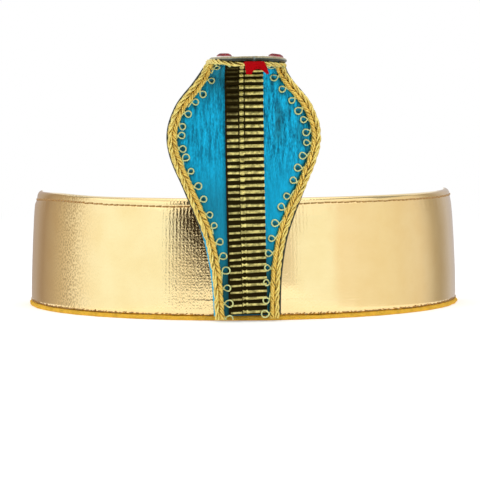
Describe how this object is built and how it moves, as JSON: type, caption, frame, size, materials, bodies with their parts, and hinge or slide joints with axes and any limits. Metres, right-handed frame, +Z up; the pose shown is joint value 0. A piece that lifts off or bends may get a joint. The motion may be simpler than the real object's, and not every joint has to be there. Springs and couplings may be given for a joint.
{
  "type": "egyptian cobra headpiece",
  "caption": "Stiff gold costume headband, closed behind by elastic, that carries a rearing cobra with a blue hood, ribbed belly, braided edge, forked tongue and red stone eyes.",
  "frame": {"origin": "middle of the head opening, on the plane of the band's lower edge", "axes": "+Z up out of the head opening, -Y the way the cobra faces, +X to the right as seen from the front"},
  "size_m": [0.1666, 0.2334, 0.096],
  "materials": {
    "gold_lame": "foiled knit with a metallic sheen",
    "yellow_felt": "matt felt",
    "elastic": "matt ribbed elastic",
    "blue_lame": "foiled knit with fine creases",
    "ribbed_ribbon": "gold ribs on black",
    "gold_thread": "metallic thread",
    "red_felt": "matt felt",
    "red_stone": "clear faceted acrylic with a foiled back"
  },
  "bodies": {
    "root": {"band_cover": "gold_lame", "band_lining": "yellow_felt", "back_elastic": "elastic", "hood_panel": "blue_lame", "belly_strip": "ribbed_ribbon", "edge_braid": "gold_thread", "tongue": "red_felt", "eye_left": "red_stone", "eye_right": "red_stone"}
  },
  "joints": []
}
